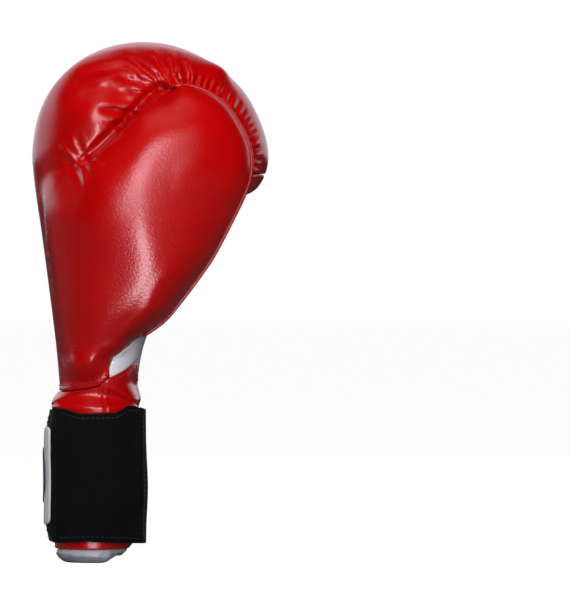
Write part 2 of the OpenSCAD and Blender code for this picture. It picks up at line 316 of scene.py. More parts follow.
# ------------------------ the fist and thumb as one field
FIST = curve_through([
    (-21.5, 96), (-21.8, 109), (-24.2, 135), (-28.2, 167), (-33.2, 204), (-37.6, 235), (-38.6, 256),
    (-33.4, 280), (-20.6, 299.8), (-2, 313.6), (22, 320.4), (48, 318.6), (72, 308), (91, 291.5),
    (102, 272), (107, 254), (105.5, 240), (98.5, 229), (86, 225), (73, 228.5), (65, 236), (61, 239),
    (60.5, 232), (63, 216), (60, 194), (51, 174), (41, 157.5), (32.5, 141), (28, 126), (26, 109),
    (25.4, 96),
], 6)
THUMB = curve_through([
    (-6, 247), (2, 253), (15, 265), (27.5, 278.5), (34, 285), (42, 289.5), (55.6, 292.3), (68, 289.3),
    (80, 281), (88.5, 269.5), (94.5, 257), (96.4, 245), (95, 234), (91, 223.6), (85.1, 211.7),
    (78.5, 198.8), (71.9, 186.9), (62.9, 174), (53.4, 161.6), (44.6, 150.8), (37.9, 145),
    (29.4, 139.3), (21.6, 133.8), (13.2, 125), (9.5, 115), (1, 108), (-11, 110), (-19.5, 122),
    (-22, 140), (-25.6, 170), (-29, 202), (-27, 222), (-18, 238),
], 6)
CREASE = curve_through([(-5, 246.5), (2, 253), (8, 259), (15, 265), (21, 272), (27.5, 278.5), (34, 285),
                        (42, 290)], 6, False)
THUMB_Y = ((108, -25), (134, -35), (156, -41), (181, -46), (206, -50), (230, -53), (262, -54), (295, -54))
THUMB_HALF = ((108, 17), (134, 24), (156, 29), (181, 32), (206, 33.5), (230, 33), (262, 32.5), (295, 29))
THUMB_LENGTH = 700        # round the thumb's outline
GATHER = 6.6              # from one gather to the next beside the thumb
# How far in from each edge the thumb's crown lies
PALM_REACH = ((115, 9), (140, 12), (153, 15), (165, 20), (177, 25), (190, 36), (205, 51), (220, 63),
              (234, 68), (250, 67), (270, 50))
CREASE_REACH = ((115, 30), (140, 42), (153, 50), (165, 60), (177, 68), (190, 67), (205, 60), (220, 51),
                (234, 40), (247, 33), (270, 30))
# Puckers and creases on the thumb side: line in the side plane, depth (negative for a ridge), width.
PUCKERS = [
    ([(12, 297.5), (24, 296), (34, 292.5), (42, 291)], 2.6, 2.4),
    ([(-16, 298), (0, 301), (15, 303), (28, 300.5), (40, 294)], 1.6, 2.8),
    ([(2, 277.5), (13, 277), (25.5, 274.5)], 2.2, 2.2),
    ([(8, 268), (16, 268.5), (22, 271)], 1.4, 1.8),
    ([(16, 311), (28, 306), (41, 296)], 1.5, 2.2),
    ([(30, 313), (38, 307), (45, 298)], 1.5, 2.2),
    ([(42, 312), (46.5, 306), (50, 297)], 1.6, 2.0),
    ([(52, 309), (56, 304), (57.5, 296)], 1.5, 2.0),
    ([(20, 290), (28, 288.5), (35, 288)], 1.3, 1.8),
    ([(-10, 287), (2, 290), (14, 291)], 0.7, 2.6),
    ([(-21, 249), (-13, 241.5), (-8, 234)], 0.6, 2.2),
    ([(-4, 226), (-5, 235), (-9, 244.5), (-19, 255)], -0.9, 1.5),
    ([(-11, 265), (-8, 256), (-5, 248)], 0.7, 1.8),
    ([(8, 247.5), (2, 246), (-4, 247)], 1.1, 1.5),
]


def glove_fields(step, low=(-48, -98, 88), high=(118, 72, 332)):
    """The fields of the fist and the thumb, and their union, on a grid."""
    xs, ys, zs = (np.arange(a, b, step) for a, b in zip(low, high))
    X2, Z2 = np.meshgrid(xs, zs, indexing="ij")
    Y = ys[None, :, None].astype(np.float32)

    d_fist = eased(inside(FIST, X2, Z2))
    centre = at_height(Z2, (96, 0), (150, 1), (200, 3))
    half = at_height(Z2, (96, 45.7), (109, 46), (136, 47.5), (165, 51), (196, 54), (225, 55.5), (330, 55.5))
    half = half * (1 - 0.16 * smooth((X2 - 78) / 28) * smooth((266 - Z2) / 34))
    rounding = at_height(Z2, (96, 24), (115, 24.5), (150, 33), (200, 44), (250, 48), (330, 48))
    side = Y - wide(centre)
    fist = pillow(wide(d_fist), wide(rounding), side, wide(half), 2.35)

    # what swells and puckers on the thumb side
    swell = 9 * np.exp(-(((X2 + 2) / 24) ** 2) - ((Z2 - 277) / 26) ** 2)
    swell += 5 * np.exp(-(((X2 - 60) / 45) ** 2) - ((Z2 - 304) / 10) ** 2)
    outside = -inside(THUMB, X2, Z2)
    d_crease_side = outside * smooth((60 - X2) / 10)
    _, share = line_distance(THUMB, X2, Z2, True)
    run = share * THUMB_LENGTH / GATHER
    ruffle = np.cos(2 * math.pi * (run + 0.35 * hills(X2, Z2, 30, 3))) + 0.35 * hills(X2, Z2, 9, 4)
    reach = smooth((outside + 1) / 3) * (1 - smooth((outside - 3) / 9)) * smooth((d_fist - 1.5) / 6)
    where = smooth((X2 - 44) / 16) * smooth((Z2 - 214) / 12)
    swell += 0.95 * ruffle * reach * where
    pole = np.hypot(X2 - 45, Z2 - 289)
    angle = np.arctan2(Z2 - 289, X2 - 45)
    fan = np.cos(25 * angle + 1.3 * hills(X2, Z2, 22, 12))
    fan += 0.5 * np.cos(41 * angle + 1.7 * hills(X2, Z2, 16, 13))
    fan = 0.42 * fan * smooth((pole - 3) / 6) * (1 - smooth((pole - 12) / 26))
    swell += fan * smooth((d_crease_side + 1) / 4)
    pucker = np.zeros_like(X2)
    for line, deep, width in PUCKERS:
        d, t = line_distance(curve_through(line, 5, False), X2, Z2)
        fade = smooth(t / 0.35) * (0.55 + 0.45 * smooth((1.02 - t) / 0.1))
        valley, bank = bell(d, width), bell(d - 1.9 * width, width)
        pucker += deep * fade * (valley - 0.45 * bank)
    loose = 0.06 + 0.94 * smooth((outside + 2) / 8)
    pucker += 0.45 * hills(X2, Z2, 26, 8) * smooth((Z2 - 180) / 60) * loose
    facing = 0.2 + 0.8 * smooth((-side - 4) / 26)
    fist -= wide(swell) * facing * smooth((-side - 4) / 26)
    # the far side has softer puckers round the finger end
    far = 0.9 * np.cos(2 * math.pi * (np.arctan2(Z2 - 250, X2 - 62) * 30 / 8.5 + 0.4 * hills(X2, Z2, 25, 5)))
    far *= smooth((X2 - 40) / 30) * smooth((d_fist - 1) / 8) * (1 - smooth((d_fist - 22) / 14))
    fist -= wide(far) * smooth((side - 14) / 22)

    # the thumb's crown lies near its palm edge low down and near the crease high up
    off = Y - wide(at_height(Z2, *THUMB_Y) + 20 * smooth((6 - X2) / 34) * smooth((Z2 - 112) / 20))
    palm_edge, crease_edge = THUMB[30:145], np.vstack([THUMB[144:], THUMB[:31]])
    palm_reach, crease_reach = at_height(Z2, *PALM_REACH), at_height(Z2, *CREASE_REACH)
    palm_share = np.maximum(1 - eased(line_distance(palm_edge, X2, Z2)[0]) / palm_reach, 0)
    crease_share = np.maximum(1 - eased(line_distance(crease_edge, X2, Z2)[0]) / crease_reach, 0)
    crown = np.where(outside < 0, (palm_share**6 + crease_share**6) ** (1 / 6), 1 + outside / 30)
    t_round = np.where(outside < 0, np.where(palm_share > crease_share, palm_reach, crease_reach), 30)
    thumb = crowned(wide(crown), wide(t_round), off, wide(at_height(Z2, *THUMB_HALF)), 1.85)

    k = 3.0 + 30 * smooth((248 - Z2) / 30) * smooth((34 - X2) / 40) * smooth((Z2 - 104) / 22)
    k *= 1 - 0.9 * smooth((X2 + 2) / 14) * smooth((134 - Z2) / 12)
    k *= smooth((d_fist - 1) / 12)
    both = join(fist, thumb, wide(np.maximum(k, 1.6)))
    # the skin is drawn taut over the thumb and the back of the hand beside it
    taut = smooth((-outside - 5) / 10) * smooth((d_fist - 4) / 10)
    taut = np.maximum(taut, smooth(-X2 / 10) * smooth((244 - Z2) / 14) * smooth((d_fist - 1) / 7))
    drawn = (blur(blur(both, 5 / step), 4 / step) - both) * wide(taut * smooth((Z2 - 122) / 14))
    both += drawn * smooth((-side - 8) / 14)
    d_crease, t_crease = line_distance(CREASE, X2, Z2)
    d_crease = np.where(outside > 0, np.maximum(d_crease - 1.6, 0), d_crease + 1.6)
    groove = 4.5 * bell(d_crease, 2.2) * (0.35 + 0.65 * smooth(t_crease / 0.3))
    both += wide(groove + pucker) * smooth((-side - 12) / 22)
    return {"low": np.array(low, float), "x": X2, "z": Z2, "Y": Y, "fist": fist, "thumb": thumb, "both": both}


G = glove_fields(STEP)


def pocket_field(g):
    """The room for the hand, open at the wrist, and the room for the thumb."""
    X, Z = g["x"], g["z"]
    room = curve_through([
        (-14, 80), (-13.5, 109), (-10, 141), (-7, 172), (-5, 202), (0, 231), (14, 256), (36, 269.5),
        (58, 270), (72, 262), (73, 253), (62, 251), (50, 246), (42, 234), (39, 219), (36, 197),
        (30, 170), (22, 141), (17.5, 109), (17, 80),
    ], 5)
    d = inside(room, X, Z)
    hand = pillow(wide(d), wide(at_height(Z, (90, 15), (150, 17), (200, 20), (260, 14))), g["Y"] - 2, 39, 2.6)
    line = np.array([(12, -16, 150), (20, -42, 172), (34, -56, 206), (46, -58, 240), (52, -57, 262)], float)
    P = [wide(X), g["Y"], wide(Z)]
    thumb = None
    for a, b in zip(line[:-1], line[1:]):
        t = sum((p - q) * (r - q) for p, q, r in zip(P, a, b)) / float(((b - a) ** 2).sum())
        t = np.clip(t, 0, 1)
        d = np.sqrt(sum((p - q - t * (r - q)) ** 2 for p, q, r in zip(P, a, b))) - 12
        thumb = d if thumb is None else np.minimum(thumb, d)
    return hand.astype(np.float32), thumb.astype(np.float32)


# ------------------------ materials
def principled(name, color, rough, **more):
    mat, tree, out = new_material(name)
    shader = tree.nodes.new("ShaderNodeBsdfPrincipled")
    shader.inputs["Base Color"].default_value = (*color, 1)
    shader.inputs["Roughness"].default_value = rough
    for key, value in more.items():
        shader.inputs[key.replace("_", " ")].default_value = value
    tree.links.new(shader.outputs[0], out.inputs[0])
    place = tree.nodes.new("ShaderNodeTexCoord")
    return mat, tree, shader, place.outputs["Object"]


def math_node(tree, op, a, b):
    n = tree.nodes.new("ShaderNodeMath")
    n.operation = op
    for socket, value in zip(n.inputs, (a, b)):
        if isinstance(value, (int, float)):
            socket.default_value = value
        else:
            tree.links.new(value, socket)
    return n.outputs[0]


def texture(tree, where, kind, scale, **more):
    t = node(tree, "Tex" + kind, **more)
    t.inputs["Scale"].default_value = scale
    tree.links.new(where, t.inputs["Vector"])
    return t


def set_bump(tree, shader, height, distance):
    b = tree.nodes.new("ShaderNodeBump")
    b.inputs["Strength"].default_value = 1.0
    b.inputs["Distance"].default_value = distance
    tree.links.new(height, b.inputs["Height"])
    tree.links.new(b.outputs[0], shader.inputs["Normal"])


def mix_color(tree, factor, a, b):
    m = tree.nodes.new("ShaderNodeMix")
    m.data_type = "RGBA"
    tree.links.new(factor, m.inputs["Factor"])
    m.inputs["A"].default_value = (*a, 1)
    m.inputs["B"].default_value = (*b, 1)
    return m.outputs["Result"]


def shaded(color, share):
    return tuple(c * share for c in color)


def drift(tree, shader, factor, a, b):
    """The base colour goes from a to b with a texture."""
    tree.links.new(mix_color(tree, factor, a, b), shader.inputs["Base Color"])


def leather(name, color, dark, rough, grain=0.00006, coat=0.15, coat_rough=0.16):
    """Coated glove leather: large and small pebbles, pores, slight unevenness of colour and gloss."""
    mat, tree, shader, here = principled(name, color, rough)
    shader.inputs["Coat Weight"].default_value = coat
    shader.inputs["Coat Roughness"].default_value = coat_rough
    shader.inputs["Specular IOR Level"].default_value = 0.42
    cloud = texture(tree, here, "Noise", 38, Detail=3.0)
    drift(tree, shader, cloud.outputs[0], color, dark)
    wear = texture(tree, here, "Noise", 120, Detail=4.0)
    spread = map_range(tree, wear.outputs[0], To_Min=rough * 0.85, To_Max=rough * 1.2)
    tree.links.new(spread.outputs[0], shader.inputs["Roughness"])
    warp = texture(tree, here, "Noise", 300, Detail=2.0)
    shifted = tree.nodes.new("ShaderNodeMixRGB")
    shifted.inputs[0].default_value = 0.0008
    tree.links.new(here, shifted.inputs[1])
    tree.links.new(warp.outputs["Color"], shifted.inputs[2])
    pebble = texture(tree, shifted.outputs[0], "Voronoi", 900)
    pores = texture(tree, here, "Noise", 2600, Detail=2.0)
    large = texture(tree, shifted.outputs[0], "Voronoi", 520)
    rounded = map_range(tree, large.outputs[0], From_Max=0.6)
    rounded.interpolation_type = "SMOOTHSTEP"
    small = math_node(tree, "MULTIPLY", math_node(tree, "MINIMUM", pebble.outputs[0], 0.6), 0.5)
    height = math_node(tree, "ADD", small, math_node(tree, "MULTIPLY", pores.outputs[0], 0.35))
    height = math_node(tree, "ADD", height, math_node(tree, "MULTIPLY", rounded.outputs[0], 0.9))
    set_bump(tree, shader, height, grain)
    return mat


RED = leather("red_glove_leather", (0.44, 0.0003, 0.0006), (0.37, 0.0002, 0.0004), 0.25)
RED_EDGE = leather("red_piping_leather", (0.42, 0.002, 0.003), (0.33, 0.001, 0.001), 0.30)
WHITE = leather("white_palm_leather", (0.74, 0.72, 0.78), (0.66, 0.64, 0.70), 0.30)
BINDING = leather("silver_rim_binding", (0.40, 0.40, 0.45), (0.30, 0.30, 0.34), 0.5, 0.00008, 0.1)


def webbing(name, color, rib, cross, rough=0.72):
    """Woven band: ribs along it, knots and fuzz, and a dull sheen."""
    mat, tree, shader, here = principled(name, color, rough, Specular_IOR_Level=0.12, Sheen_Weight=0.015,
                                         Sheen_Roughness=0.4)
    rows = texture(tree, here, "Wave", rib, Distortion=0.6, Detail=1.0)
    rows.bands_direction = "Z"
    fuzz = texture(tree, here, "Noise", 1500, Detail=3.0)
    knots = texture(tree, here, "Voronoi", cross)
    height = math_node(tree, "ADD", rows.outputs["Fac"], math_node(tree, "MULTIPLY", knots.outputs[0], 0.8))
    height = math_node(tree, "ADD", height, math_node(tree, "MULTIPLY", fuzz.outputs[0], 0.7))
    set_bump(tree, shader, height, 0.00022)
    cloud = texture(tree, here, "Noise", 90, Detail=4.0)
    drift(tree, shader, cloud.outputs[0], shaded(color, 0.55), shaded(color, 1.6))
    return mat


BLACK = webbing("black_elastic_webbing", (0.003, 0.003, 0.0036), 700, 850)
BLACK_TAB = webbing("black_tab_webbing", (0.004, 0.004, 0.0046), 700, 850)


def pile(name, color, scale):
    """Hook-and-loop face."""
    mat, tree, shader, here = principled(name, color, 0.9)
    loops = texture(tree, here, "Voronoi", scale)
    fuzz = texture(tree, here, "Noise", scale * 2, Detail=4.0)
    set_bump(tree, shader, math_node(tree, "ADD", loops.outputs[0], fuzz.outputs[0]), 0.0005)
    drift(tree, shader, loops.outputs[0], shaded(color, 1.7), shaded(color, 0.5))
    return mat


HOOKS = pile("hook_field", (0.02, 0.02, 0.022), 650)
LOOPS = pile("loop_field", (0.028, 0.028, 0.03), 900)


def cloth(name, color):
    mat, tree, shader, here = principled(name, color, 0.85)
    weave = texture(tree, here, "Checker", 1400)
    fuzz = texture(tree, here, "Noise", 1200, Detail=3.0)
    set_bump(tree, shader, math_node(tree, "ADD", weave.outputs["Fac"], fuzz.outputs[0]), 0.00015)
    cloud = texture(tree, here, "Noise", 60, Detail=3.0)
    drift(tree, shader, cloud.outputs[0], color, shaded(color, 0.85))
    return mat


LINING = cloth("lining_cloth", (0.62, 0.60, 0.56))


def foam(name, color):
    mat, tree, shader, here = principled(name, color, 0.95)
    cells = texture(tree, here, "Voronoi", 700)
    set_bump(tree, shader, cells.outputs[0], 0.0006)
    drift(tree, shader, cells.outputs[0], color, shaded(color, 0.8))
    return mat


FOAM = foam("open_cell_foam", (0.70, 0.66, 0.52))
DENSE = foam("closed_cell_foam", (0.52, 0.50, 0.42))


def moulded(name, color, rough):
    mat, tree, shader, here = principled(name, color, rough)
    grain = texture(tree, here, "Noise", 900, Detail=3.0)
    set_bump(tree, shader, grain.outputs[0], 0.0001)
    cloud = texture(tree, here, "Noise", 50, Detail=3.0)
    drift(tree, shader, cloud.outputs[0], color, shaded(color, 0.8))
    return mat


LABEL = moulded("grey_label_rubber", (0.56, 0.56, 0.58), 0.42)
EMBLEM = moulded("dark_emblem_rubber", (0.012, 0.013, 0.03), 0.38)
RUBBER = moulded("grip_roll_rubber", (0.03, 0.03, 0.032), 0.6)
THREAD_RED = moulded("red_thread", (0.36, 0.004, 0.006), 0.5)
THREAD_BLACK = moulded("black_thread", (0.02, 0.02, 0.022), 0.6)

# ------------------------ leather pieces from the field


def wrist_seam(X, Y):
    """Height of the seam between fist and wrist, which climbs along the white panel on the palm side."""
    knots = ((-30, 105), (-20, 105.2), (-6, 106.4), (4, 108.6), (8.6, 112.8), (18.5, 117.6), (24.7, 122.7),
             (29.4, 129), (34, 137))
    climb = at_height(X, *knots) - 105
    return 105 + climb * (1 - 0.5 * smooth((Y + 22) / 26))


SKIN = 2.2                # thickness of the leather with its backing
SEAM = 0.12               # half the gap between two panels
hand_room, thumb_room = pocket_field(G)
room = np.minimum(hand_room, thumb_room)
F, Yw = G["both"], G["Y"]
Xw, Zw = wide(G["x"]), wide(G["z"])
floor = wrist_seam(Xw, Yw).astype(np.float32)


def prism(points, per=4):
    """Field of everything inside a side outline."""
    return -wide(inside(curve_through(points, per), G["x"], G["z"]))


# the leather is turned in at the crease, where it is thicker
crease_away = wide(line_distance(CREASE, G["x"], G["z"])[0])
turned_in = 2.0 * bell(crease_away, 7)


def shell_piece(name, region, lift=0.0, **look):
    """One panel of the glove's skin: the part of the shell that lies in a region."""
    skin = cut(F - lift, -(F + SKIN + turned_in), 0.4)
    skin = cut(skin, (floor - Zw) * 0.8, 1.2)
    skin = cut(skin, region + SEAM, 0.9)
    verts, quads = volume_to_mesh(skin, G["low"], STEP)
    return add_object(name, verts, quads, **look)


def solid_piece(name, field, coarse=2, **look):
    """A hidden piece, meshed on a coarser grid."""
    verts, quads = volume_to_mesh(field[::coarse, ::coarse, ::coarse], G["low"], STEP * coarse)
    return add_object(name, verts, quads, **look)


fist_side = G["fist"] - G["thumb"]        # negative where the fist is the nearer of the two
off_thumb = Yw - wide(at_height(G["z"], *THUMB_Y))
thumb_inner = np.maximum(np.maximum(-fist_side, -off_thumb), 14 + 0.14 * (Zw - 110) - Xw)
thumb_inner = np.maximum(thumb_inner, 10 - crease_away)
palm_outline = prism([(14, 100), (26, 140), (42, 190), (46, 228), (52, 243), (61, 241), (66, 226), (76, 200),
                      (96, 170), (96, 100)])
palm = np.maximum(palm_outline, np.abs(Yw - 3) - 41)
leaf_outline = prism([(9.6, 114), (10.5, 123), (16, 132), (26, 141), (44, 153), (60, 150), (60, 100),
                      (15, 100)])
leaf = np.maximum(leaf_outline, Yw + 12)
white = np.maximum(np.minimum(palm, leaf), fist_side)
tip_outline = prism([(58, 240), (63, 246), (80, 241), (104, 239), (125, 239), (125, 205), (70, 205),
                     (64, 226)])
tip = np.maximum(np.maximum(tip_outline, fist_side), -white)
back = np.maximum(np.maximum(-white, -tip), -thumb_inner)

SHELL = (
    ("back_and_thumb_leather", back, 0.0, RED, "red_leather", ("fist_leather", "thumb_leather_outer")),
    ("fingertip_leather_panel", tip, 0.0, RED, "red_leather", ("fingertip_leather",)),
    ("palm_leather_panel", white, 0.3, WHITE, "white_leather", ("palm_leather",)),
    ("thumb_inner_leather", thumb_inner, 0.0, RED, "red_leather", ("thumb_leather_inner",)),
)
for name, region, lift, material, slot, stands_for in SHELL:
    piece = shell_piece(name, region, lift, material=material, body="fist", slot=slot)
    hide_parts(*stands_for)

core = np.maximum(np.maximum(F + SKIN + 2.2, floor + 4 - Zw), -(room - 1.8))
in_thumb = np.maximum(G["thumb"] + SKIN, -(G["fist"] + SKIN - 0.5))
in_fist = np.maximum(core, -in_thumb)
palm_half = prism([(12, 90), (28, 150), (42, 200), (44, 228), (48, 242), (60, 242), (66, 225), (76, 200),
                   (150, 160), (150, 90)])
over_knuckles = np.maximum(in_fist, 0.4 - palm_half)
grip_bar = np.hypot(Xw - 49.5, Zw - 215) - 7.2
PADS = (
    ("thumb_foam_pad", np.maximum(core, in_thumb + 0.6), "thumb_foam", FOAM, "soft_foam"),
    ("palm_foam_pad", np.maximum(in_fist, palm_half + 0.4), "palm_foam", FOAM, "soft_foam"),
    ("knuckle_foam_soft_pad", np.maximum(over_knuckles, -(F + 13.5)), "knuckle_foam_soft", FOAM, "soft_foam"),
    ("knuckle_foam_dense_pad", np.maximum(over_knuckles, F + 14.2), "knuckle_foam_dense", DENSE,
     "dense_foam"),
)
for name, field, stands_for, material, slot in PADS:
    pad = solid_piece(name, np.maximum(field, -grip_bar), material=material, body="fist", slot=slot)
    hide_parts(stands_for)
lining_shell = np.maximum(np.maximum(room - 1.5, -room), 106 - Zw)
in_thumb_sleeve = np.maximum(thumb_room - 1.6, -(hand_room - 1.6))
for name, side, stands_for in (("hand_lining_bag", -in_thumb_sleeve, "hand_lining"),
                               ("thumb_lining_sleeve", in_thumb_sleeve, "thumb_lining")):
    bag = solid_piece(name, np.maximum(lining_shell, side), coarse=1, material=LINING, body="fist",
                      slot="lining_cloth")
    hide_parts(stands_for)


# ------------------------ points on the leather
def sample(field, points):
    q = (points - G["low"]) / STEP
    i = np.clip(np.floor(q).astype(int), 0, np.array(field.shape) - 2)
    f = q - i
    total = 0
    for corner in np.ndindex(2, 2, 2):
        weight = np.prod(np.where(corner, f, 1 - f), axis=-1)
        total = total + weight * field[tuple(np.moveaxis(i + corner, -1, 0))]
    return total


def march(starts, directions, far=120.0, step=0.5):
    """The first point on the glove's surface along each ray."""
    starts, directions = np.broadcast_arrays(np.asarray(starts, float), np.asarray(directions, float))
    t = np.arange(0, far, step)
    values = sample(F, starts[:, None] + t[None, :, None] * directions[:, None])
    crossed = (values[:, :-1] > 0) != (values[:, 1:] > 0)
    k = crossed.argmax(1)
    rows = np.arange(len(k))
    a, b = values[rows, k], values[rows, k + 1]
    return starts + (t[k] + step * a / (a - b + 1e-9))[:, None] * directions


# ------------------------ bands round the wrist's oval
OVAL_X, OVAL_Y = 1.0, 21.5
TURN_MM = 43              # length along the wrist of one turn


def oval_frame(turn):
    """Point on the wrist's middle line and the way out.

    Turns: 0-1 palm, 1-2 thumb end, 2-3 back, 3-4 little finger end.
    """
    turn = np.mod(np.asarray(turn, float), 4)
    side, t = np.floor(turn).astype(int), turn % 1
    a = math.pi * t
    y = np.choose(side, [OVAL_Y * (1 - 2 * t), -OVAL_Y + 0 * t, OVAL_Y * (2 * t - 1), OVAL_Y + 0 * t])
    nx = np.choose(side, [1 + 0 * t, np.cos(a), -1 + 0 * t, -np.cos(a)])
    ny = np.choose(side, [0 * t, -np.sin(a), 0 * t, np.sin(a)])
    return np.full(t.shape, OVAL_X), y, nx, ny


def on_oval(turn, r, z):
    x, y, nx, ny = oval_frame(turn)
    return np.stack(np.broadcast_arrays(x + r * nx, y + r * ny, z), -1)


def turn_at(y, r, end):
    """The turn where a layer of half depth r passes depth y, on the wrist's palm (end 0) or back (end 1)."""
    past = abs(y) - OVAL_Y
    flat = (OVAL_Y - y) / (2 * OVAL_Y) if end == 0 else 2 + (OVAL_Y + y) / (2 * OVAL_Y)
    if past <= 0:
        return flat
    arc = math.asin(past / r) / math.pi
    return {(0, True): 1 + arc, (0, False): -arc, (1, True): 2 - arc, (1, False): 3 + arc}[(end, y < 0)]


def grid_quads(n, m, closed=False):
    """Faces of a grid of n rings with m points each; closed joins the last ring to the first."""
    i, k = np.meshgrid(np.arange(n if closed else n - 1), np.arange(m), indexing="ij")
    j, l = (i + 1) % n, (k + 1) % m
    return np.stack([i * m + k, j * m + k, j * m + l, i * m + l], -1).reshape(-1, 4).tolist()


def end_caps(n, m):
    return [list(range(m)), list(range((n - 1) * m, n * m))[::-1]]


def band(name, start, stop, r_in, r_out, low, high, bulge=None, rows=2.0, **look):
    """A strip bent round the oval, with rounded edges. low and high may be functions of the turn."""
    turns = np.linspace(start, stop, max(6, int(abs(stop - start) * 46)))
    nudge = 0.004 * np.sign(stop - start)
    turns = np.unique(np.append(turns, [start + nudge, start + 3 * nudge, stop - nudge, stop - 3 * nudge]))
    bottom = low(turns) if callable(low) else np.full(len(turns), float(low))
    top = high(turns) if callable(high) else np.full(len(turns), float(high))
    thick = r_out - r_in
    share = np.linspace(0, 1, max(4, int((top - bottom).max() / rows)))
    rim = np.radians(np.linspace(75, -75, 5))
    flat = len(share)
    q = np.concatenate([np.ones(flat), 0.5 + 0.5 * np.sin(rim), np.zeros(flat), 0.5 - 0.5 * np.sin(rim)])
    s = np.concatenate([share, np.ones(5), share[::-1], np.zeros(5)])
    e = np.concatenate([0 * share, np.cos(rim), 0 * share, -np.cos(rim)])
    z = bottom[:, None] + thick / 2 + s * (top - bottom - thick)[:, None] + e * thick / 2
    near = np.minimum(turns - turns[0], turns[-1] - turns) * 45
    slim = np.sqrt(np.clip(1 - (1 - np.clip(near / (thick / 2), 0, 1)) ** 2, 0.02, 1))
    r = (r_in + r_out) / 2 + (q - 0.5) * thick * slim[:, None]
    if bulge:
        r = r + bulge(turns[:, None], z, q)
    points = on_oval(np.broadcast_to(turns[:, None], z.shape), r, z)
    points, faces = points.reshape(-1, 3), grid_quads(*z.shape) + end_caps(*z.shape)
    return add_object(name, points, flip_if_inward(points, faces), **look)


def flip_if_inward(points, faces):
    volume = 0.0
    for f in faces:
        a = points[f[0]]
        for b, c in zip(f[1:-1], f[2:]):
            volume += float(np.dot(a, np.cross(points[b], points[c])))
    return [f[::-1] for f in faces] if volume < 0 else faces


def stitches(name, line, outward, material, body, slot, pitch=3.4, length=2.4, thick=0.34):
    """A row of raised thread along a line on a surface."""
    steps = np.linalg.norm(np.diff(line, axis=0), axis=1)
    travel = np.concatenate([[0], np.cumsum(steps)])
    count = max(1, int(travel[-1] / pitch))
    verts, faces = [], []
    ring = np.linspace(0, 2 * math.pi, 6, endpoint=False)
    for c in range(count):
        middle = (c + 0.5) * travel[-1] / count
        ts = np.linspace(-0.5, 0.5, 6)
        at = np.stack([np.interp(middle + ts * length, travel, line[:, k]) for k in range(3)], -1)
        out = np.stack([np.interp(middle, travel, outward[:, k]) for k in range(3)])
        out = out / np.linalg.norm(out)
        along = at[-1] - at[0]
        along = along / np.linalg.norm(along)
        across = np.cross(along, out)
        base = len(verts)
        for t, p in zip(ts, at):
            fat = thick * math.sqrt(max(0.12, 1 - (2 * t) ** 2 * 0.9))
            lift = 0.30 - 1.6 * t * t
            for a in ring:
                verts.append(p + out * (lift + fat * math.sin(a)) + across * fat * math.cos(a))
        for i in range(5):
            for k in range(6):
                a, b = base + i * 6, base + (i + 1) * 6
                faces.append([a + k, a + (k + 1) % 6, b + (k + 1) % 6, b + k])
        faces.append([base + k for k in range(5, -1, -1)])
        faces.append([base + 30 + k for k in range(6)])
    verts = np.array(verts)
    return add_object(name, verts, flip_if_inward(verts, faces), material, body, slot)


def tube(name, line, radius, material, body, slot, sides=10):
    """A piped edge along a line, thinner at both ends."""
    tangent = np.gradient(line, axis=0)
    tangent /= np.linalg.norm(tangent, axis=1)[:, None]
    across = np.cross(tangent, [0, 1, 0])
    across /= np.linalg.norm(across, axis=1)[:, None]
    up = np.cross(across, tangent)
    share = np.linspace(0, 1, len(line))
    fat = radius * np.sqrt(np.clip(np.minimum(share, 1 - share) / 0.02, 0.05, 1))
    a = np.linspace(0, 2 * math.pi, sides, endpoint=False)
    ring = np.cos(a)[None, :, None] * across[:, None] + np.sin(a)[None, :, None] * up[:, None]
    points = (line[:, None] + fat[:, None, None] * ring).reshape(-1, 3)
    faces = grid_quads(len(line), sides) + end_caps(len(line), sides)
    return add_object(name, points, flip_if_inward(points, faces), material, body, slot)


# ------------------------ cuff and wrist leather
SLIT = 6.0
CUFF_FROM, CUFF_TO = 0.5 + SLIT / (2 * OVAL_Y), 4.5 - SLIT / (2 * OVAL_Y)


def reach_of_fist(turns, heights):
    """Half depth of the fist's surface at each turn and height."""
    x, y, nx, ny = oval_frame(turns)
    starts = np.stack([x + 8 * nx, y + 8 * ny, heights], -1)
    ways = np.stack([nx, ny, 0 * nx], -1)
    hits = march(starts, ways, 40, 0.25)
    return np.linalg.norm(hits - starts, axis=1) + 8


def facing_back(turn):
    """1 on the back of the wrist, 0 on the palm side."""
    return 0.5 - 0.5 * oval_frame(turn)[2]


def drawn_in(turn, z):
    """How far the cuff's mouth is drawn in at the slit."""
    mouth = at_height(z, (0, 9.5), (4, 8.2), (9, 4.6), (13, 1.6), (20, 0))
    return mouth * smooth(1.15 - 2.3 * facing_back(turn))


def cuff_wrinkles(turn, z, q):
    along = turn * TURN_MM
    return 0.35 * hills(along, z, 24, 21) + 0.15 * hills(along, z, 8, 22) - drawn_in(turn, z)


cuff_leather = band("cuff_leather_sleeve", CUFF_FROM, CUFF_TO, 23.8, 25.2, 8.6, 91, bulge=cuff_wrinkles,
                    material=RED, body="cuff", slot="red_leather")
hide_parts("cuff_leather")
cuff_foam = band("cuff_foam_pad", CUFF_FROM, CUFF_TO, 17.6, 23.3, 9.8, 96.5, rows=6,
                 bulge=lambda turn, z, q: -drawn_in(turn, z) * (0.25 + 0.75 * q),
                 material=FOAM, body="cuff", slot="soft_foam")
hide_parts("cuff_foam")
cuff_lining = band("cuff_lining_sleeve", CUFF_FROM, CUFF_TO, 16.2, 17.3, 8.5, 97, rows=3,
                   material=LINING, body="cuff", slot="lining_cloth",
                   bulge=lambda t, z, q: 0.25 * hills(t * TURN_MM, z, 16, 23) - 0.25 * drawn_in(t, z))
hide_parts("cuff_lining")
gore = band("slit_gore_elastic", turn_at(5.8, 21, 0), turn_at(-5.8, 21, 0), 20.4, 21.6, 10, 96.5,
            material=BLACK, body="cuff", slot="black_webbing", bulge=lambda turn, z, q: 0.3 * np.cos(z * 1.1))
